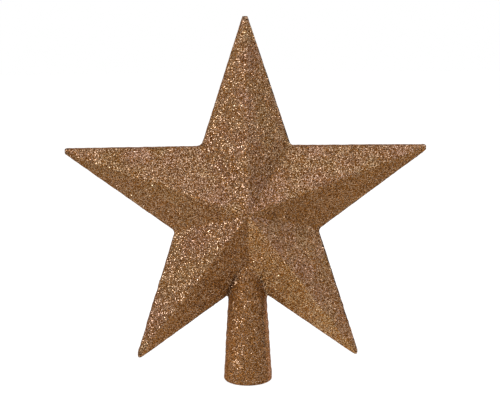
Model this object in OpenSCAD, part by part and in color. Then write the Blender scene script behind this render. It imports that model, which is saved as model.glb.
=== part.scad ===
// Tree topper: a hollow five-pointed star in two moulded halves, on a sleeve for the tree's top shoot.
// In millimetres, from the centre of the sleeve's mouth. +Z is up to the top point, and -Y is the front.

/* [Star] */
// Height of the star's centre above the sleeve's mouth
centre_z = 93.4; // [88:0.1:99]
// Distance from the star's centre to the sharp end of a point, before it is rounded
point_r = 99.6; // [94:0.1:106]
// Distance from the star's centre to the sharp bottom of a valley between two points
valley_r = 38.6; // [35:0.1:42]
// Depth from the seam to the peak in the middle of one half
peak_depth = 26.1; // [22:0.1:32]
// Depth from the seam to where the flat rim of one half ends and its facets begin
rim_depth = 2.15; // [1.6:0.05:3]
// Rounding of the five points
point_round = 1.2; // [0.8:0.1:1.6]
// Rounding of the five valleys
valley_round = 1.2; // [0.6:0.1:2]
// Thickness of the moulded wall
wall = 1.4; // [1:0.1:1.8]

/* [Sleeve] */
// Outer diameter of the sleeve at its mouth
mouth_d = 24.3; // [22:0.1:27]
// Outer diameter of the sleeve at the height of the star's lowest valley
neck_d = 17.7; // [16.6:0.1:20]
// Rounding of the mouth's outer edge
mouth_round = 1.1; // [0.4:0.1:1.2]
// Diameter of the parallel socket that grips the tree's top shoot
socket_d = 13.6; // [12:0.1:14.4]
// Length of the parallel socket
socket_len = 16; // [12:0.5:20]
// Height at which the sleeve's inner taper meets the parallel socket
socket_z = 56; // [50:0.5:60]
// Thickness of the web that closes the socket at its top
web_t = 1.4; // [1:0.1:2]

/* [Pins] */
// Distance from the star's centre to each locating pin
pin_ring_r = 47; // [43:0.5:55]
// Diameter of a locating pin
pin_d = 3; // [2:0.1:3.6]
// Length of a locating pin beyond the seam
pin_len = 4; // [3:0.1:5]
// Diameter of the pillars that carry the pins and their sockets
pillar_d = 6; // [5.6:0.1:7]
// Gap all round a locating pin in its socket
pin_gap = 0.1; // [0.05:0.05:0.25]
// Gap beyond the end of a locating pin in its socket
pin_end_gap = 0.6; // [0.3:0.1:1]

/* [Seam and coat] */
// Thickness of the cement between the two rims
cement_t = 0.2; // [0.1:0.05:0.3]
// Thickness of the lacquer and glitter outside
coat_t = 0.5; // [0.4:0.05:0.6]
// Rounding of the coat over the points
coat_point_round = 1.5; // [1.2:0.05:1.8]
// Rounding of the coat in the valleys beside and below the sleeve
coat_valley_round = 2.4; // [1.4:0.1:3]
// Rounding of the coat where the lacquer pooled, in the valley left of the top point
pooled_valley_round = 3.6; // [2:0.1:4]
// Rounding of the coat where it stayed thin, in the valley right of the top point
thin_valley_round = 1.6; // [1.4:0.1:2.4]

/* [Hidden] */
$fn = 96;

// Points of the star, steps in each rounded corner, and how far a cutting shape runs past what it cuts
POINTS = 5;
CORNER_STEPS = 6;
OVERRUN = 1;

// The angle between a point and its neighbouring valley, seen from the star's centre
CORNER_ANGLE = 180 / POINTS;

// The straight edge between a point and a valley, and how far that edge lies from the star's centre
edge_rise = point_r - valley_r * cos(CORNER_ANGLE);
edge_run = valley_r * sin(CORNER_ANGLE);
edge_r = point_r * edge_run / norm([edge_rise, edge_run]);

// All ten facets of a half have one slope, because their edges lie equally far from the centre
facet_slope = atan2(peak_depth - rim_depth, edge_r);

// The sleeve's outside narrows upwards, then runs parallel around the socket
mouth_r = mouth_d / 2;
socket_r = socket_d / 2;
sleeve_taper = (mouth_r - neck_d / 2) / (centre_z - valley_r);
parallel_r = socket_r + wall;
parallel_z = (mouth_r - parallel_r) / sleeve_taper;

// The sleeve's inside narrows upwards to the socket
bore_mouth_r = mouth_r - wall;
bore_taper = (bore_mouth_r - socket_r) / socket_z;
socket_top_z = socket_z + socket_len;
sleeve_top_z = socket_top_z + web_t;

// Roundings of the valleys, clockwise from the one right of the top point
shell_valley_rounds = [for (i = [1:POINTS]) valley_round];
coat_valley_rounds = [
    thin_valley_round,
    coat_valley_round,
    coat_valley_round,
    coat_valley_round,
    pooled_valley_round
];

function polar(r, angle) = [r * cos(angle), r * sin(angle)];
function unit(v) = v / norm(v);

// Corner i of the star, clockwise from the top point, with all its edges moved outwards by grow
function corner(i, grow) =
    polar((i % 2 == 0 ? point_r : valley_r) * (1 + grow / edge_r), 90 - i * CORNER_ANGLE);

// An arc of radius r that rounds the corner p, which lies between the corners a and b
function rounded(a, p, b, r) =
    let (
        u = unit(a - p),
        v = unit(b - p),
        half = acos(u * v) / 2,
        centre = p + unit(u + v) * r / sin(half),
        start = p + u * r / tan(half) - centre,
        sweep = -sign(cross(u, v)) * (180 - 2 * half)
    )
    [
        for (k = [0:CORNER_STEPS])
            centre + polar(r, atan2(start[1], start[0]) + sweep * k / CORNER_STEPS)
    ];

// Outline of the star with all its edges moved outwards by grow
function star_outline(grow, point_rounding, valley_roundings) = [
    for (i = [0:2 * POINTS - 1])
        each rounded(
            corner(i - 1, grow),
            corner(i, grow),
            corner(i + 1, grow),
            i % 2 == 0 ? point_rounding : valley_roundings[(i - 1) / 2]
        )
];

shell_outline = star_outline(0, point_round, shell_valley_rounds);
cavity_outline = star_outline(-wall, point_round, shell_valley_rounds);
coat_outline = star_outline(coat_t, coat_point_round, coat_valley_rounds);

// Turns a shape drawn with its depth along Z to face the front, at the star's centre
module at_star() {
    translate([0, 0, centre_z])
        rotate([90, 0, 0])
            children();
}

// The solid star, both halves, with all its faces moved outwards by grow
module star_body(grow, outline) {
    count = len(outline);
    rim = rim_depth + grow * (1 - sin(facet_slope)) / cos(facet_slope);
    peak = peak_depth + grow / cos(facet_slope);
    front_peak = 2 * count;
    rear_peak = front_peak + 1;
    at_star()
        polyhedron(
            points = [
                for (p = outline) [p[0], p[1], -rim],
                for (p = outline) [p[0], p[1], rim],
                [0, 0, peak],
                [0, 0, -peak]
            ],
            faces = [
                for (i = [0:count - 1])
                    let (next = (i + 1) % count)
                    each [
                        [next, count + next, count + i, i],
                        [count + i, count + next, front_peak],
                        [next, i, rear_peak]
                    ]
            ]
        );
}

// Profile of the sleeve's outside, from its axis outwards, with the sleeve grown by grow
function sleeve_profile(grow) = [
    [0, 0],
    for (k = [0:CORNER_STEPS])
        [mouth_r + grow - mouth_round, mouth_round]
            + polar(mouth_round, 90 * (k / CORNER_STEPS - 1)),
    [parallel_r + grow, parallel_z],
    [parallel_r + grow, sleeve_top_z],
    [0, sleeve_top_z]
];

// Profile of the hollow that takes the tree's top shoot
function shoot_profile() = [
    [0, -OVERRUN],
    [bore_mouth_r + bore_taper * OVERRUN, -OVERRUN],
    [socket_r, socket_z],
    [socket_r, socket_top_z],
    [0, socket_top_z]
];

module sleeve_body(grow) {
    rotate_extrude() polygon(sleeve_profile(grow));
}

module shoot_hollow() {
    rotate_extrude() polygon(shoot_profile());
}

// Round bars square to the seam, one in each point, from one depth to another
module bars(d, from, to) {
    at_star()
        for (i = [0:POINTS - 1])
            translate(concat(polar(pin_ring_r, 90 - 2 * i * CORNER_ANGLE), from))
                cylinder(d = d, h = to - from);
}

// Both mouldings as if they were one, without their pins
module moulding() {
    difference() {
        union() {
            difference() {
                star_body(0, shell_outline);
                star_body(-wall, cavity_outline);
            }
            intersection() {
                bars(pillar_d, -peak_depth, peak_depth);
                star_body(0, shell_outline);
            }
            sleeve_body(0);
        }
        shoot_hollow();
    }
}

// Everything in front of the seam's cement
module front_side() {
    reach = centre_z + point_r;
    translate([-reach, -reach - cement_t / 2, -reach])
        cube([2 * reach, reach, 3 * reach]);
}

module front_shell() {
    color("saddlebrown") {
        intersection() {
            moulding();
            front_side();
        }
        bars(pin_d, -pin_len, rim_depth);
    }
}

module rear_shell() {
    color("sienna")
        difference() {
            intersection() {
                moulding();
                mirror([0, 1, 0]) front_side();
            }
            bars(pin_d + 2 * pin_gap, -pin_len - pin_end_gap, 0);
        }
}

// A profile that starts and ends on the axis, with its other side added
function both_sides(profile) = [
    each profile,
    for (i = [len(profile) - 2:-1:1])
        [-profile[i][0], profile[i][1]]
];

// Seen from the front, the cement fills the outline of the two rims and of the sleeve's walls
module seam_cement() {
    color("burlywood")
        rotate([90, 0, 0])
            difference() {
                union() {
                    translate([0, centre_z])
                        linear_extrude(cement_t, center = true)
                            difference() {
                                polygon(shell_outline);
                                polygon(cavity_outline);
                            }
                    linear_extrude(cement_t, center = true)
                        polygon(both_sides(sleeve_profile(0)));
                }
                linear_extrude(cement_t + OVERRUN, center = true)
                    polygon(both_sides(shoot_profile()));
            }
}

module glitter_coat() {
    color("peru")
        difference() {
            union() {
                star_body(coat_t, coat_outline);
                sleeve_body(coat_t);
            }
            star_body(0, shell_outline);
            sleeve_body(0);
        }
}

front_shell();
rear_shell();
seam_cement();
glitter_coat();
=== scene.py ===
from math import atan2, cos, hypot, pi, radians, sin

import bmesh
import bpy
import numpy as np
from mathutils import Matrix, Vector, noise


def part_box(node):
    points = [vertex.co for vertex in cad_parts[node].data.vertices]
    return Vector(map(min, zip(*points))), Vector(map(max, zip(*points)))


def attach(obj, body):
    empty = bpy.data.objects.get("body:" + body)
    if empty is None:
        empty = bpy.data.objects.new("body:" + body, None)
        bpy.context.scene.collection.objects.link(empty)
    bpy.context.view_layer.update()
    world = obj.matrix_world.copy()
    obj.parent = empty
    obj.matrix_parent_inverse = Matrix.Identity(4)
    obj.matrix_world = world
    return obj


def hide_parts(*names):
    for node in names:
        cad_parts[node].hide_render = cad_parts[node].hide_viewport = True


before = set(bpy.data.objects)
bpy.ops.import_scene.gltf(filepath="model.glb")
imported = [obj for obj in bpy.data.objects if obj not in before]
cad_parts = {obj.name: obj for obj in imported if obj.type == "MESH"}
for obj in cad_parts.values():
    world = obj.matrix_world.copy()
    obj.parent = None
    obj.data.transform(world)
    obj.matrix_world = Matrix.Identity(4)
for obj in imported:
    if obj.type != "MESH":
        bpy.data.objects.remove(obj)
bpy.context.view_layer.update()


# The view. The camera stands a little to the left of the star and slightly above it, on a long lens, and is
# tipped half a degree, as in the photograph.
mm = 0.001
star_centre = Vector((0, 0, 93.4 * mm))
view_distance = 588 * mm
view_side = radians(-1.6)
view_height = radians(9.1)
view_tip = radians(-0.5)

camera_data = bpy.data.cameras.new("camera")
camera_data.lens = 81.17
camera_data.shift_x = 0.0068
camera_data.shift_y = 0.0129
camera_data.clip_start = 10 * mm
camera = bpy.data.objects.new("camera", camera_data)
level = cos(view_height)
backwards = Vector((sin(view_side) * level, -cos(view_side) * level, sin(view_height)))
level_right = Vector((cos(view_side), sin(view_side), 0))
level_up = backwards.cross(level_right)
camera_right = cos(view_tip) * level_right + sin(view_tip) * level_up
camera_up = backwards.cross(camera_right)
camera.matrix_world = Matrix.Translation(star_centre + view_distance * backwards) @ Matrix(
    (camera_right, camera_up, backwards)
).transposed().to_4x4()
bpy.context.scene.collection.objects.link(camera)
bpy.context.scene.camera = camera
bpy.context.scene.view_settings.view_transform = "Standard"


# The light. A softbox stands to the left, a weaker one hangs overhead, and two more lift the right side and
# the rear. A white room fills in, which is pure white only to the camera, in metal and through glass.
def add_softbox(name, place, size, watts, tint):
    """A square lamp that faces the star's centre."""
    lamp = bpy.data.lights.new(name, "AREA")
    lamp.shape = "SQUARE"
    lamp.size = size
    lamp.energy = watts
    lamp.color = tint
    softbox = bpy.data.objects.new(name, lamp)
    towards = star_centre - Vector(place)
    facing = towards.to_track_quat("-Z", "Y").to_matrix().to_4x4()
    softbox.matrix_world = Matrix.Translation(place) @ facing
    bpy.context.scene.collection.objects.link(softbox)


daylight = (0.93, 1.0, 1.13)
skylight = (0.85, 1.0, 1.25)
add_softbox("left_softbox", (-1.1, -0.95, 0.15), 0.84, 16.5, daylight)
add_softbox("overhead_softbox", (0.1, -0.5, 1.1), 0.9, 5.4, daylight)
add_softbox("right_softbox", (1.1, -0.9, 0.5), 0.8, 2, skylight)
add_softbox("rear_softbox", (1.1, 0.9, 0.5), 0.7, 8, daylight)


def add_node(tree, kind, values=None, **settings):
    """Adds a shader node with its settings, and sets or links the inputs that values names."""
    made = tree.nodes.new("ShaderNode" + kind)
    for name, setting in settings.items():
        setattr(made, name, setting)
    for name, value in (values or {}).items():
        if isinstance(value, bpy.types.NodeSocket):
            tree.links.new(value, made.inputs[name])
        else:
            made.inputs[name].default_value = value
    return made


def work_out(tree, operation, *terms):
    """Adds a Math node that does an operation on its terms, and returns the result."""
    return add_node(tree, "Math", dict(enumerate(terms)), operation=operation).outputs[0]


def spread(tree, value, start, end, first=0, last=1):
    """Turns a value that runs from start to end into one that runs from first to last."""
    ends = {"From Min": start, "From Max": end, "To Min": first, "To Max": last}
    return add_node(tree, "MapRange", {"Value": value, **ends}).outputs["Result"]


def seen_by_camera_or_mirror(tree):
    """1 for a ray that shows the room to the camera, in metal or through glass, and 0 for one that lights."""
    ray = add_node(tree, "LightPath").outputs
    seen = work_out(tree, "MAXIMUM", ray["Is Camera Ray"], ray["Is Glossy Ray"])
    return work_out(tree, "MAXIMUM", seen, ray["Is Transmission Ray"])


room_fill = 0.5
world = bpy.data.worlds.new("white_room")
world.use_nodes = True
bpy.context.scene.world = world
tree = world.node_tree
tree.nodes.clear()
strength = spread(tree, seen_by_camera_or_mirror(tree), 0, 1, room_fill, 1)
background = add_node(tree, "Background", {"Color": (1, 1, 1, 1), "Strength": strength})
add_node(tree, "OutputWorld", {"Surface": background.outputs[0]})


# The floor. A wide sheet of white card on which the star's sleeve stands. The camera sees it glow almost to
# white, so that only a faint soft shadow shows on it, and to the lamps it is pale card.
def new_material(name):
    """A material whose node tree is still empty, and that tree."""
    made = bpy.data.materials.new(name)
    made.use_nodes = True
    made.node_tree.nodes.clear()
    return made, made.node_tree


def add_surface(tree, shader, values):
    """Adds the shader of the surface and joins it to the material's output."""
    surface = add_node(tree, shader, values)
    add_node(tree, "OutputMaterial", {"Surface": surface.outputs[0]})


floor_r = 4
shadow_grey = (0.25, 0.25, 0.25, 1)
card_white = (0.8, 0.8, 0.8, 1)
card_glow = 0.9

floor_shape = bmesh.new()
bmesh.ops.create_circle(floor_shape, cap_ends=True, segments=64, radius=floor_r)
floor_mesh = bpy.data.meshes.new("floor")
floor_shape.to_mesh(floor_mesh)
floor_shape.free()
floor = bpy.data.objects.new("floor", floor_mesh)
bpy.context.scene.collection.objects.link(floor)

card, tree = new_material("white_card")
shadow_catch = add_node(tree, "BsdfDiffuse", {"Color": shadow_grey})
glow = add_node(tree, "Emission", {"Color": (1, 1, 1, 1), "Strength": card_glow})
seen_card = add_node(tree, "AddShader", {0: shadow_catch.outputs[0], 1: glow.outputs[0]})
lit_card = add_node(tree, "BsdfDiffuse", {"Color": card_white})
add_surface(
    tree,
    "MixShader",
    {"Fac": seen_by_camera_or_mirror(tree), 1: lit_card.outputs[0], 2: seen_card.outputs[0]},
)
floor_mesh.materials.append(card)


# The two mouldings, front_shell and rear_shell. Each is one half of the hollow star with half of its sleeve,
# injection-moulded in brown polystyrene. The plastic shows inside the sleeve, where it has a satin skin,
# faint flow marks and draw marks from the mould, and a few flakes that were blown into the mouth.
def mix(tree, share, first, second, data_type="RGBA", **settings):
    """Mixes two colours, values or vectors, and returns the result."""
    sockets = {"FLOAT": (2, 3, 0), "VECTOR": (4, 5, 1), "RGBA": (6, 7, 2)}
    first_input, second_input, result = sockets[data_type]
    values = {"Factor": share, first_input: first, second_input: second}
    return add_node(tree, "Mix", values, data_type=data_type, **settings).outputs[result]


def add_noise(tree, place, width, detail, distortion=0):
    """Soft noise, nearly all of it from 0.3 to 0.7, in patches of about the given width."""
    values = {"Vector": place, "Scale": 1 / width, "Detail": detail, "Distortion": distortion}
    return add_node(tree, "TexNoise", values).outputs["Fac"]


def build_flake_pattern():
    """A node group that sorts a surface into flakes: a tone and a lean for each, and a mask of their gaps."""
    gap_ends = (0.05, 0.12)
    steep_power = 5
    steep_gain = 2.5
    inputs = (("Place", "Vector"), ("Facing", "Vector"), ("Flake Width", "Float"), ("Lean", "Float"))
    outputs = (("Tone", "Float"), ("Chance", "Float"), ("Gap", "Float"), ("Facing", "Vector"))
    group = bpy.data.node_groups.new("flake_pattern", "ShaderNodeTree")
    for way, sockets in (("INPUT", inputs), ("OUTPUT", outputs)):
        for name, kind in sockets:
            group.interface.new_socket(name, in_out=way, socket_type="NodeSocket" + kind)
    given = group.nodes.new("NodeGroupInput").outputs
    per_metre = work_out(group, "DIVIDE", 1, given["Flake Width"])
    scaled = {0: given["Place"], "Scale": per_metre}
    cells_at = add_node(group, "VectorMath", scaled, operation="SCALE").outputs[0]
    cells = add_node(group, "TexVoronoi", {"Vector": cells_at, "Scale": 1}, feature="F1")
    borders = add_node(group, "TexVoronoi", {"Vector": cells_at, "Scale": 1}, feature="DISTANCE_TO_EDGE")
    gap = spread(group, borders.outputs["Distance"], *gap_ends, 1, 0)
    chance = add_node(group, "TexWhiteNoise", {"Vector": cells.outputs["Color"]}, noise_dimensions="3D")
    shares = add_node(group, "SeparateColor", {"Color": chance.outputs["Color"]}).outputs
    few = work_out(group, "POWER", shares["Green"], steep_power)
    steep = work_out(group, "MULTIPLY_ADD", few, steep_gain, 1)
    lean = work_out(group, "MULTIPLY", given["Lean"], steep)
    centred = add_node(
        group, "VectorMath", {0: cells.outputs["Color"], 1: (0.5, 0.5, 0.5)}, operation="SUBTRACT"
    )
    leaning = add_node(group, "VectorMath", {0: centred.outputs[0], "Scale": lean}, operation="SCALE")
    turned = add_node(group, "VectorMath", {0: given["Facing"], 1: leaning.outputs[0]}, operation="ADD")
    facing = add_node(group, "VectorMath", {0: turned.outputs[0]}, operation="NORMALIZE")
    results = group.nodes.new("NodeGroupOutput")
    group.links.new(chance.outputs["Value"], results.inputs["Tone"])
    group.links.new(shares["Red"], results.inputs["Chance"])
    group.links.new(gap, results.inputs["Gap"])
    group.links.new(facing.outputs[0], results.inputs["Facing"])
    return group


flake_pattern = build_flake_pattern()
flake_width = 0.35 * mm
noise_span = (0.3, 0.7)
moulded_browns = ((0.235, 0.125, 0.056, 1), (0.36, 0.205, 0.1, 1))
satin_range = (0.3, 0.52)
flow_mark = 7 * mm
flow_swirl = 1.2
draw_mark = 0.3 * mm
draw_stretch = 0.04
skin_grain = 0.2 * mm
grain_depth = 0.015 * mm
grain_strength = 0.6
overspray_reach = 10 * mm
overspray_share = 0.55
overspray_lean = 0.5
overspray_bronzes = ((0.18, 0.08, 0.022, 1), (0.59, 0.42, 0.27, 1))
overspray_roughness = 0.2
flake_metallic = 0.9

plastic, tree = new_material("moulded_brown_polystyrene")
place = add_node(tree, "TexCoord").outputs["Object"]
along_draw = add_node(tree, "Mapping", {"Vector": place, "Scale": (1, 1, draw_stretch)}).outputs[0]
flow = spread(tree, add_noise(tree, place, flow_mark, 4, flow_swirl), *noise_span)
brown = mix(tree, flow, *moulded_browns)
draws = add_noise(tree, along_draw, draw_mark, 3)
satin = spread(tree, draws, *noise_span, *satin_range)
relief = work_out(tree, "ADD", add_noise(tree, place, skin_grain, 2), draws)
grained = add_node(
    tree, "Bump", {"Strength": grain_strength, "Distance": grain_depth, "Height": relief}
)
height = add_node(tree, "SeparateXYZ", {"Vector": place}).outputs["Z"]
blown = spread(tree, height, 0, overspray_reach, overspray_share, 0)
strays = add_node(
    tree,
    "Group",
    {
        "Place": place,
        "Facing": grained.outputs["Normal"],
        "Flake Width": flake_width,
        "Lean": overspray_lean,
    },
    node_tree=flake_pattern,
).outputs
stuck = work_out(tree, "LESS_THAN", strays["Chance"], blown)
bronze = mix(tree, strays["Tone"], *overspray_bronzes)
add_surface(
    tree,
    "BsdfPrincipled",
    {
        "Base Color": mix(tree, stuck, brown, bronze),
        "Metallic": work_out(tree, "MULTIPLY", stuck, flake_metallic),
        "Roughness": mix(tree, stuck, satin, overspray_roughness, "FLOAT"),
        "Normal": mix(tree, stuck, grained.outputs["Normal"], strays["Facing"], "VECTOR"),
    },
)
for shell in ("front_shell", "rear_shell"):
    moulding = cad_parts[shell].data.materials
    moulding.clear()
    moulding.append(plastic)


# The cement line, seam_cement. Solvent cement joins the two halves all round their rims. It has set to a thin
# yellowish film with a glassy skin and small bubbles, which shows in the sleeve's mouth.
cement_yellows = ((0.42, 0.29, 0.15, 1), (0.62, 0.48, 0.3, 1))
bubble_yellow = (0.72, 0.62, 0.46, 1)
cement_bead = 3 * mm
cement_gloss = (0.12, 0.38)
bubble_width = 0.18 * mm
bubble_edge = (0.1, 0.35)
bubble_depth = 0.03 * mm
bubble_strength = 0.8

cement, tree = new_material("set_yellow_cement")
place = add_node(tree, "TexCoord").outputs["Object"]
beads = add_noise(tree, place, cement_bead, 3)
yellow = mix(tree, spread(tree, beads, *noise_span), *cement_yellows)
bubbles = add_node(tree, "TexVoronoi", {"Vector": place, "Scale": 1 / bubble_width}, feature="F1")
bubble = spread(tree, bubbles.outputs["Distance"], *bubble_edge, 1, 0)
blistered = add_node(
    tree, "Bump", {"Strength": bubble_strength, "Distance": bubble_depth, "Height": bubble}
)
add_surface(
    tree,
    "BsdfPrincipled",
    {
        "Base Color": mix(tree, bubble, yellow, bubble_yellow),
        "Roughness": spread(tree, beads, 0, 1, *cement_gloss),
        "Normal": blistered.outputs["Normal"],
    },
)
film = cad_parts["seam_cement"].data.materials
film.clear()
film.append(cement)


# The glitter coat. Lacquer is sprayed over the joined star and its sleeve, and bronze film flakes a third of
# a millimetre wide are blown into it while it is wet. It is thin on the sleeve and on facets that face down,
# and worn at the tips. Bare lacquer is painted in as shade along the rims' edges, in the two creases between
# the sleeve and the star and in a line down the sleeve's right side, and the flakes' brightness on each facet
# and on the sleeve holds painted light and shade.
POINTS = 5
point_r = 99.6 * mm
valley_r = 38.6 * mm
peak_depth = 26.1 * mm
rim_depth = 2.15 * mm
mouth_r = 12.15 * mm
neck_r = 8.2 * mm
neck_z = 65.6 * mm
mouth_round = 1.1 * mm
coat_t = 0.5 * mm
corner_steps = 6
mouth_steps = 5
sleeve_sides = 96

half_step = pi / POINTS
edge_rise = point_r - valley_r * cos(half_step)
edge_run = valley_r * sin(half_step)
edge_r = point_r * edge_run / hypot(edge_rise, edge_run)
facet_slope = atan2(peak_depth - rim_depth, edge_r)

# How far each corner is cut back and rounded: the points, anticlockwise from the top one, and the valleys,
# anticlockwise from the one left of it
point_trims = (4.7 * mm, 4.6 * mm, 5.2 * mm, 5.5 * mm, 4.5 * mm)
valley_trims = (1.9 * mm, 1.7 * mm, 1.7 * mm, 1.7 * mm, 1.1 * mm)


def round_off(shape, parts, kind, reach, steps):
    """Rounds corners or edges of a bmesh, which it cuts back by reach."""
    bmesh.ops.bevel(
        shape, geom=parts, affect=kind, offset=reach, segments=steps, profile=0.5, material=-1
    )


def star_solid(grow):
    """The closed star with its faces moved outwards by grow, facing -Y at its height over the sleeve."""
    star = bmesh.new()
    bmesh.ops.create_circle(
        star, cap_ends=True, segments=2 * POINTS, radius=point_r * (1 + grow / edge_r)
    )
    corners = list(star.verts)
    for valley in corners[1::2]:
        valley.co *= valley_r / point_r
    trims = [trim for pair in zip(point_trims, valley_trims) for trim in pair]
    for corner, trim in zip(corners, trims):
        round_off(star, [corner], "VERTICES", trim, corner_steps)
    rim = rim_depth + grow * (1 - sin(facet_slope)) / cos(facet_slope)
    peak = peak_depth + grow / cos(facet_slope)
    bmesh.ops.translate(star, verts=star.verts[:], vec=(0, 0, -rim))
    raised = bmesh.ops.extrude_face_region(star, geom=star.faces[:])["geom"]
    lid = [part for part in raised if isinstance(part, bmesh.types.BMVert)]
    bmesh.ops.translate(star, verts=lid, vec=(0, 0, 2 * rim))
    caps = [face for face in star.faces if len(face.verts) > 4]
    for apex in bmesh.ops.poke(star, faces=caps)["verts"]:
        apex.co = (0, 0, peak if apex.co.z > 0 else -peak)
    bmesh.ops.rotate(star, verts=star.verts[:], matrix=Matrix.Rotation(pi / 2, 3, "X"))
    bmesh.ops.translate(star, verts=star.verts[:], vec=star_centre)
    bmesh.ops.recalc_face_normals(star, faces=star.faces[:])
    return star


def add_sleeve(star, grow):
    """Adds the closed conical sleeve with its sides moved outwards by grow and a rounded lower edge."""
    made = bmesh.ops.create_cone(
        star,
        cap_ends=True,
        segments=sleeve_sides,
        radius1=mouth_r + grow,
        radius2=neck_r + grow,
        depth=neck_z,
        matrix=Matrix.Translation((0, 0, neck_z / 2)),
    )
    foot = {
        side
        for corner in made["verts"]
        for side in corner.link_edges
        if all(end.co.z < mouth_round for end in side.verts)
    }
    round_off(star, list(foot), "EDGES", mouth_round, mouth_steps)


def mesh_object(name, shape):
    """Turns a bmesh into an object in the scene."""
    mesh = bpy.data.meshes.new(name)
    shape.to_mesh(mesh)
    shape.free()
    made = bpy.data.objects.new(name, mesh)
    bpy.context.scene.collection.objects.link(made)
    return made


def apply_modifiers(made):
    """Replaces an object's mesh by what its modifiers make of it."""
    bpy.context.view_layer.update()
    shaped = bpy.data.meshes.new_from_object(made.evaluated_get(bpy.context.evaluated_depsgraph_get()))
    made.modifiers.clear()
    made.data = shaped


def vertex_rows(vectors, field):
    """Reads a vector for each vertex of a mesh, one to a row."""
    rows = np.empty(len(vectors) * 3, np.float32)
    vectors.foreach_get(field, rows)
    return rows.reshape(-1, 3)


# The outside of the coat is remeshed to an even grid, so that the lacquer can sag and the flakes roughen it
flake_pile = 0.15 * mm
grid = 0.76 * mm
weld = grid / 20
flat_z = 0.2 * mm
lip_r = mouth_r - mouth_round
lip_step = 0.05 * mm


def open_mouth(skin, ring_r):
    """Cuts the sleeve's flat end out of a closed skin and leaves a round hole."""
    end_r = ring_r + grid / 2
    end = [
        face
        for face in skin.faces
        if all(corner.co.z < flat_z and corner.co.xy.length < end_r for corner in face.verts)
    ]
    bmesh.ops.delete(skin, geom=end, context="FACES")
    for corner in {corner for side in skin.edges if side.is_boundary for corner in side.verts}:
        corner.co.z = 0
        corner.co.xy = corner.co.xy.normalized() * ring_r


outer = star_solid(coat_t + flake_pile)
add_sleeve(outer, coat_t + flake_pile)
coat = mesh_object("glitter_coat_skin", outer)
remesh = coat.modifiers.new("even_grid", "REMESH")
remesh.mode = "VOXEL"
remesh.voxel_size = grid
apply_modifiers(coat)

outer = bmesh.new()
outer.from_mesh(coat.data)
open_mouth(outer, lip_r + lip_step)
bmesh.ops.remove_doubles(outer, verts=outer.verts[:], dist=weld)
bmesh.ops.triangulate(outer, faces=outer.faces[:], quad_method="BEAUTY", ngon_method="BEAUTY")
outer.to_mesh(coat.data)
outer.free()

# Flakes push the surface about, the lacquer swells and sags, and a bead of it runs down the sleeve's seam
flake_relief = 0.045 * mm
flake_slide = 0.1 * mm
sag_width = 4 * mm
sag_depth = 0.12 * mm
seam_width = 0.6 * mm
seam_rise = 0.35 * mm
bead_length = 3 * mm
bead_contrast = 2
bead_level = 0.3
skin_seed = 25

dice = np.random.default_rng(skin_seed)
places = vertex_rows(coat.data.vertices, "co")
normals = vertex_rows(coat.data.vertex_normals, "vector")
slide = dice.normal(0, flake_slide, places.shape)
slide -= normals * (slide * normals).sum(1, keepdims=True)
swell = np.array([noise.noise(Vector(place) / sag_width) for place in places.astype(float)])
beading = np.array([noise.noise(Vector(place) / bead_length) for place in places.astype(float)])
bead_size = np.clip(beading * bead_contrast + bead_level, 0, 1)
seam_bead = seam_rise * np.exp(-((places[:, 1] / seam_width) ** 2)) * bead_size
seam_bead *= places[:, 2] < star_centre.z - valley_r
rise = dice.uniform(-flake_relief, flake_relief, len(places)) + sag_depth * swell + seam_bead
moves = slide + normals * rise[:, None]
moves[places[:, 2] < flat_z] = 0
places += moves
low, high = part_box("glitter_coat")
places = np.clip(places, np.array(low), np.array(high))
coat.data.vertices.foreach_set("co", places.astype(np.float32).ravel())

# The inside of the coat lies on the mouldings, and a ring round the mouth joins it to the outside
sleeve_inside = bmesh.new()
add_sleeve(sleeve_inside, 0)
lining = mesh_object("lining", star_solid(0))
sleeve_lining = mesh_object("sleeve_lining", sleeve_inside)
fuse = lining.modifiers.new("fuse", "BOOLEAN")
fuse.operation = "UNION"
fuse.solver = "EXACT"
fuse.object = sleeve_lining
apply_modifiers(lining)
inner = bmesh.new()
inner.from_mesh(lining.data)
open_mouth(inner, lip_r)
bmesh.ops.reverse_faces(inner, faces=inner.faces[:])
inner.to_mesh(lining.data)
inner.free()
skin_count = len(coat.data.polygons)
outer = bmesh.new()
outer.from_mesh(coat.data)
outer.from_mesh(lining.data)
bmesh.ops.bridge_loops(outer, edges=[side for side in outer.edges if side.is_boundary])
bmesh.ops.triangulate(outer, faces=[face for face in outer.faces if len(face.verts) > 3])
outer.to_mesh(coat.data)
outer.free()
for helper in (lining, sleeve_lining):
    bpy.data.objects.remove(helper)

# Where flakes are missing: painted shade along the rims' edges, anticlockwise from the upper edge, wear at
# the tips, anticlockwise from the top, painted shade in the creases left and right of the sleeve, and a
# painted dark line down its right side
rim_shade_reach = 0.55 * mm
rim_shade_rise = 0.3 * mm
rim_shade_width = 0.9 * mm
edge_shade = np.array((0.3, 0.45, 0.45, 0.6, 1.0))
tip_wear = np.array((0.6, 0.5, 0.15, 0.1, 0.45))
tip_wear_ends = (95 * mm, 97 * mm)
crease_shade_width = 2.0 * mm
crease_shade_strength = (1.0, 0.55)
crease_shade_ends = (2 * mm, 7 * mm)
shade_line_bearing = radians(-43)
shade_line_width = 0.8 * mm
shade_line_strength = 0.6
shade_line_ends = (0, 12 * mm, 48 * mm, 54 * mm)

x, y, z = vertex_rows(coat.data.vertices, "co").T
depth = np.abs(y)
turns = pi / 2 + 2 * half_step * np.arange(POINTS)
across = x[:, None] * np.cos(turns) + (z[:, None] - star_centre.z) * np.sin(turns)
edge = np.argsort(across, axis=1)[:, -2]
inside = edge_r + coat_t - np.take_along_axis(across, edge[:, None], axis=1)[:, 0]
sleeve_r = mouth_r + coat_t - (mouth_r - neck_r) * z / neck_z
round_sleeve = np.arctan2(y, x)
from_sleeve = np.hypot(x, y) - sleeve_r
from_star = depth - (rim_depth + inside * np.tan(facet_slope))
on_sleeve = from_star > coat_t

# Painted shade: flakes are left out along the rims' edges, more on some edges than on others
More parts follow.
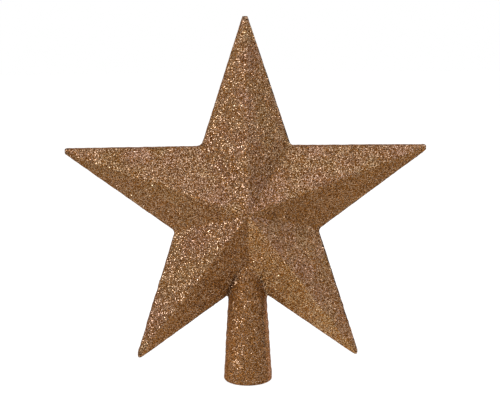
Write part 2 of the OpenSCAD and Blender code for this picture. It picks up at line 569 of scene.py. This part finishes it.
rim_shade = edge_shade[edge] * np.interp(inside, (rim_shade_reach, 2 * rim_shade_reach), (1, 0))
rim_shade *= np.exp(-(((depth - rim_depth - rim_shade_rise) / rim_shade_width) ** 2))
tips_worn = tip_wear[np.argmax(across, axis=1)] * np.interp(across.max(axis=1), tip_wear_ends, (0, 1))
# Painted shade: dark lacquer shows in the creases beside the sleeve, darker on the left than on the right
crease_shade = np.exp(-((np.hypot(from_sleeve, from_star) / crease_shade_width) ** 2)) * (z < star_centre.z)
crease_shade *= np.interp(np.abs(x), crease_shade_ends, (0, 1)) * np.where(x < 0, *crease_shade_strength)
# Painted shade: a dark line of bare lacquer down the sleeve's right side
shade_line = np.exp(-(((round_sleeve - shade_line_bearing) * sleeve_r / shade_line_width) ** 2))
shade_line *= shade_line_strength * on_sleeve * np.interp(z, shade_line_ends, (0, 1, 1, 0))

# Painted light and shade in how bright the flakes are: on each facet, clockwise from the right half of the
# top point, with its fall or rise outwards, and on the sleeve, painted light on its lower left and a painted
# highlight in a run beside its seam on the right
facet_painted_light = np.array((1.0, 1.02, 1.07, 1.1, 1.5, 1.15, 0.96, 1.09, 1.0, 1.01))
facet_painted_falloff = np.array((0.13, 0, 0, 0, 0, -0.15, 0.1, 0.25, 0, -0.1))
painted_falloff_middle = 45 * mm
sleeve_painted_light = 0.97
left_painted_light = 1.17
left_lit_run = ((-130, 1), (-112, 0), (112, 0), (130, 1))
left_lit_run_ends = (28 * mm, 34 * mm)
seam_painted_highlight = 1.35
seam_highlight_run = ((-36, 0), (-30, 1), (-13, 1), (-4, 0))

# How thin the lacquer is on each facet, where fewer flakes shine, and how golden its flakes are
facet_thinness = np.array((0, 0, 0.9, 0, 0.4, 0.9, 0, 0.4, 0, 0))
facet_gold = np.array((0, 0, 0.3, 0, 0.9, 0.2, 0, 0.4, 0, 0))

# Painted light and shade: each facet gets its own brightness, falling or rising outwards
bearing = pi / 2 - np.arctan2(z - star_centre.z, x)
facet = (bearing // half_step).astype(int) % (2 * POINTS)
painted_falloff = 1 - facet_painted_falloff[facet] * (np.hypot(x, z - star_centre.z) - painted_falloff_middle) / point_r
# Painted highlight: a brighter strip beside the sleeve's seam on the right, where the lacquer is not thin
in_seam_highlight = np.interp(np.degrees(round_sleeve), *zip(*seam_highlight_run))
# Painted light: the lower left of the sleeve is brighter
in_left_lit_run = np.interp(np.degrees(round_sleeve), *zip(*left_lit_run)) * np.interp(z, left_lit_run_ends, (1, 0))
painted_runs = 1 + (left_painted_light - 1) * in_left_lit_run + (seam_painted_highlight - 1) * in_seam_highlight


def add_mask(made, name, values):
    """Keeps a value for each vertex of an object, which its material reads by name."""
    mask = made.data.attributes.new(name, "FLOAT", "POINT")
    mask.data.foreach_set("value", values.astype(np.float32))


# Flakes are left out for painted shade at the rims, in the creases and in a line on the sleeve, and for wear
# at the tips
add_mask(coat, "wear_and_painted_shade", np.max((rim_shade, tips_worn, crease_shade, shade_line), axis=0))
# This brightness mask holds the painted light and shade of the facets and the sleeve
add_mask(coat, "painted_light_and_shade", np.where(on_sleeve, sleeve_painted_light * painted_runs, facet_painted_light[facet] * painted_falloff))
add_mask(coat, "thinness", np.where(on_sleeve, 1 - in_seam_highlight, facet_thinness[facet]))
add_mask(coat, "gold", np.where(on_sleeve, 0, facet_gold[facet]))


def add_tones(tree, share, tones):
    """Adds a colour ramp with a stop for each place and colour in tones, and returns its colour."""
    ramp = add_node(tree, "ValToRGB", {"Fac": share})
    stops = ramp.color_ramp.elements
    while len(stops) < len(tones):
        stops.new(1)
    for stop, (at, colour) in zip(stops, tones):
        stop.position = at
        stop.color = (*colour, 1)
    return ramp.outputs["Color"]


# Two kinds of flake lie in the lacquer: dull ones that stand on edge or lie deep, and bright mirrors on top
dull_until, mirror_from = 0.55, 0.57
dull_roughness, mirror_roughness = 0.6, 0.13
flake_tones = (
    (0.00, (0.040, 0.010, 0.001)),
    (0.30, (0.184, 0.072, 0.013)),
    (dull_until, (0.360, 0.163, 0.047)),
    (mirror_from, (0.248, 0.142, 0.067)),
    (1.00, (0.635, 0.445, 0.310)),
)
flake_lean = 0.62
thin_tone = 0.77
thin_tint = (1.31, 1.29, 1.31, 1)
golden = (1.03, 1.0, 0.86, 1)
rosy = (1.05, 0.955, 0.98, 1)
gold_tint = (1.01, 1.05, 0.93, 1)
tint_patch = 14 * mm
tint_span = (0.35, 0.65)
shade_patch = 4 * mm
shade_range = (0.95, 1.1)
lacquer_brown = (0.052, 0.02, 0.006, 1)
lacquer_sheen = 0.03
film_edge_tint = (0.75, 0.4, 0.22, 1)

glitter, tree = new_material("bronze_glitter")
place = add_node(tree, "TexCoord").outputs["Object"]
facing = add_node(tree, "NewGeometry").outputs["Normal"]
wear_and_shade, painted_light, thin, gilt = (
    add_node(tree, "Attribute", attribute_name=name).outputs["Fac"]
    for name in ("wear_and_painted_shade", "painted_light_and_shade", "thinness", "gold")
)
flakes = add_node(
    tree,
    "Group",
    {"Place": place, "Facing": facing, "Flake Width": flake_width, "Lean": flake_lean},
    node_tree=flake_pattern,
).outputs
tone = work_out(tree, "MULTIPLY", flakes["Tone"], spread(tree, thin, 0, 1, 1, thin_tone))
tint = mix(tree, spread(tree, add_noise(tree, place, tint_patch, 2), *tint_span), golden, rosy)
tint = mix(tree, thin, tint, thin_tint)
tint = mix(tree, gilt, tint, gold_tint, blend_type="MULTIPLY")
tinted = mix(tree, 1, add_tones(tree, tone, flake_tones), tint, blend_type="MULTIPLY")
shade = spread(tree, add_noise(tree, place, shade_patch, 2), *noise_span, *shade_range)
# The random patches and the painted light and shade set how bright the flakes are
patches_and_painted_light = work_out(tree, "MULTIPLY", shade, painted_light)
shaded = add_node(tree, "VectorMath", {0: tinted, "Scale": patches_and_painted_light}, operation="SCALE").outputs[0]
# Flakes go missing where the mask of painted shade and tip wear beats a flake's chance
missing = work_out(tree, "GREATER_THAN", wear_and_shade, flakes["Chance"])
uncovered = work_out(tree, "MAXIMUM", flakes["Gap"], missing)
add_surface(
    tree,
    "BsdfPrincipled",
    {
        "Base Color": mix(tree, uncovered, shaded, lacquer_brown),
        "Metallic": spread(tree, uncovered, 0, 1, flake_metallic, 0),
        "Roughness": spread(tree, tone, dull_until, mirror_from, dull_roughness, mirror_roughness),
        "Normal": flakes["Facing"],
        "Specular IOR Level": lacquer_sheen,
        "Specular Tint": film_edge_tint,
    },
)
coat.data.materials.clear()
coat.data.materials.append(glitter)
coat.data.shade_smooth()
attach(coat, "root")
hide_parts("glitter_coat")


# The loose flakes. Most flakes lie down in the lacquer, but some stand up out of it all over the star and its
# sleeve, and a few cling inside the mouth. Each is a hexagonal chip, punched from metallised film.
chip_r = 0.17 * mm
chip_t = 0.04 * mm
chip_tip = radians(28)
chip_doublings = 12
chip_seed = 4
mouth_chips = 200
mouth_reach = 3 * mm
sleeve_share = 0.9
wall = 1.4 * mm
socket_r = 6.8 * mm
socket_z = 56 * mm
bore_r = mouth_r - wall
bore_narrowing = (bore_r - socket_r) / socket_z

chip = bmesh.new()
bmesh.ops.create_cone(chip, cap_ends=True, segments=6, radius1=chip_r, radius2=chip_r, depth=chip_t)
corners = np.array([corner.co for corner in chip.verts])
loose = mesh_object("loose_flakes", chip)
for _ in range(chip_doublings):
    heap = bmesh.new()
    heap.from_mesh(loose.data)
    heap.from_mesh(loose.data)
    heap.to_mesh(loose.data)
    heap.free()
chip_count = 2 ** chip_doublings

dice = np.random.default_rng(chip_seed)
low, high = (np.array(corner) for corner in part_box("glitter_coat"))
skin_faces = [
    face
    for face in coat.data.polygons[:skin_count]
    if np.all(np.array(face.center) - chip_r > low) and np.all(np.array(face.center) + chip_r < high)
]
shares = np.array([face.area * (sleeve_share if face.center.z < neck_z / 2 else 1) for face in skin_faces])
chosen = dice.choice(len(shares), chip_count - mouth_chips, p=shares / shares.sum())
seats = [(skin_faces[index].center, skin_faces[index].normal) for index in chosen]
mouth_turns = dice.uniform(0, 2 * pi, mouth_chips)
mouth_heights = chip_r + dice.exponential(mouth_reach, mouth_chips)
for turn, height in zip(mouth_turns, mouth_heights):
    inwards = Vector((-cos(turn), -sin(turn), 0))
    seats.append((inwards * (bore_narrowing * height - bore_r) + Vector((0, 0, height)), inwards))
chip_places = np.empty((chip_count, len(corners), 3))
for index, (seat, outwards) in enumerate(seats):
    hinge = Vector(dice.normal(0, 1, 3)).cross(outwards).normalized()
    lying = outwards.to_track_quat("Z", "Y").to_matrix()
    tipped = Matrix.Rotation(dice.normal(0, chip_tip), 3, hinge) @ lying
    turned = tipped @ Matrix.Rotation(dice.uniform(0, pi), 3, "Z")
    chip_places[index] = corners @ np.array(turned).T + np.array(seat)
loose.data.vertices.foreach_set("co", chip_places.ravel())
loose.data.update()
add_mask(loose, "chip_tone", np.repeat(dice.uniform(0, 1, chip_count), len(corners)))

chip_tones = ((0.0, (0.18, 0.074, 0.015)), (0.6, (0.39, 0.22, 0.095)), (1.0, (0.62, 0.45, 0.3)))
film_scuff = 0.05 * mm
film_roughness = (0.08, 0.4)
film_metallic = 0.95

foil, tree = new_material("bronze_film")
place = add_node(tree, "TexCoord").outputs["Object"]
tone = add_node(tree, "Attribute", attribute_name="chip_tone").outputs["Fac"]
add_surface(
    tree,
    "BsdfPrincipled",
    {
        "Base Color": add_tones(tree, tone, chip_tones),
        "Metallic": film_metallic,
        "Roughness": spread(tree, add_noise(tree, place, film_scuff, 2), 0, 1, *film_roughness),
        "Specular Tint": film_edge_tint,
    },
)
loose.data.materials.append(foil)
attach(loose, "root")
